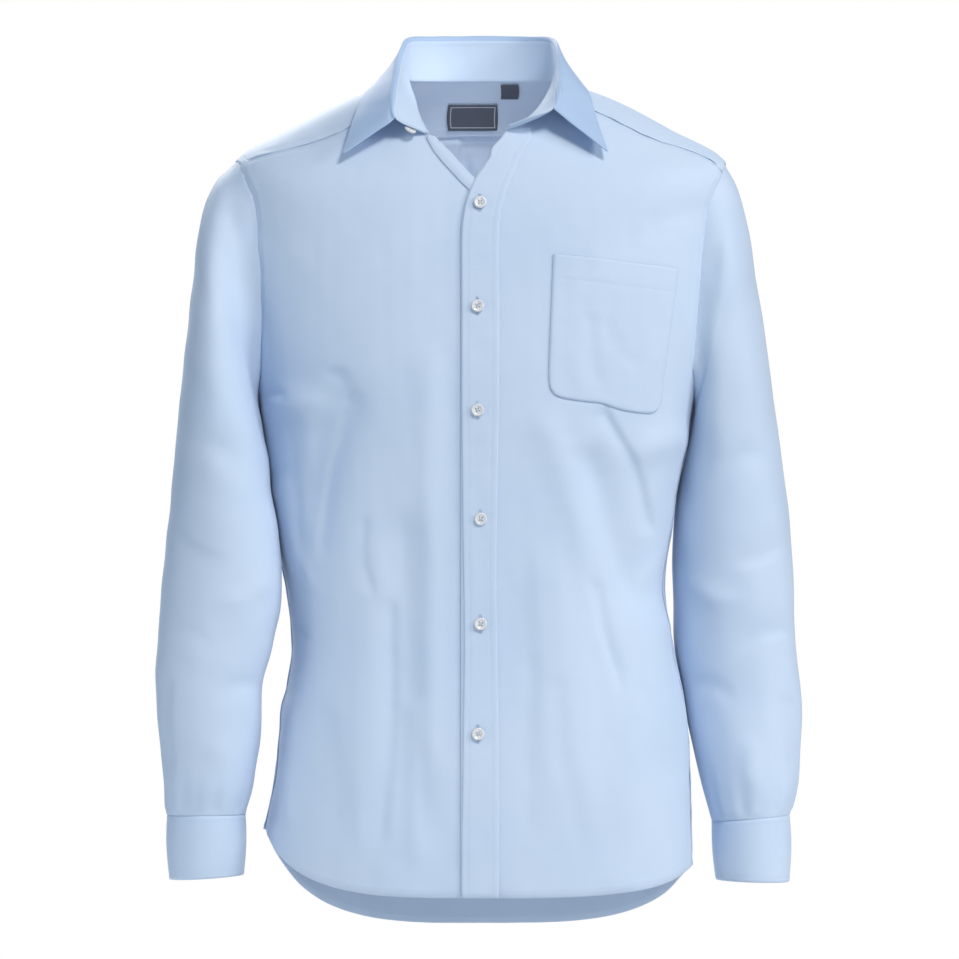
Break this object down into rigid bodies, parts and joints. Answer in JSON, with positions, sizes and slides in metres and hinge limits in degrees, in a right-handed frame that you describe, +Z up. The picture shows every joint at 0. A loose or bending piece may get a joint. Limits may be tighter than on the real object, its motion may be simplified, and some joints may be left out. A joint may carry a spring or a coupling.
{
  "type": "long sleeve dress shirt",
  "caption": "Long sleeve button-front dress shirt, filled out as worn, with a point collar worn open, hollow sleeves, a chest pocket, a yoke and a box-pleated back.",
  "frame": {"origin": "middle of the neck opening, at the height of the side of the neck, where the wearer holds the shirt up", "axes": "+Z up, the front faces -Y, the wearer's left is +X"},
  "size_m": [0.6002, 0.2459, 0.8362],
  "materials": {
    "cloth": "smooth poplin with a soft sheen",
    "collar": "fused poplin with a soft sheen",
    "button": "pearl",
    "label": "matt woven"
  },
  "bodies": {
    "root": {"front_left": "cloth", "front_right": "cloth", "turned_edge": "cloth", "placket": "cloth", "pocket": "cloth", "back": "cloth", "yoke": "cloth", "collar_band": "collar", "collar_leaf": "collar", "sleeve_left": "cloth", "sleeve_placket_left": "cloth", "button_placket_left": "button", "sleeve_right": "cloth", "sleeve_placket_right": "cloth", "button_placket_right": "button", "cuff_left": "collar", "button_cuff_left": "button", "cuff_right": "collar", "button_cuff_right": "button", "button_front_1": "button", "button_front_2": "button", "button_front_3": "button", "button_front_4": "button", "button_front_5": "button", "button_front_6": "button", "button_band": "button", "neck_label": "label", "size_tab": "label"}
  },
  "joints": []
}
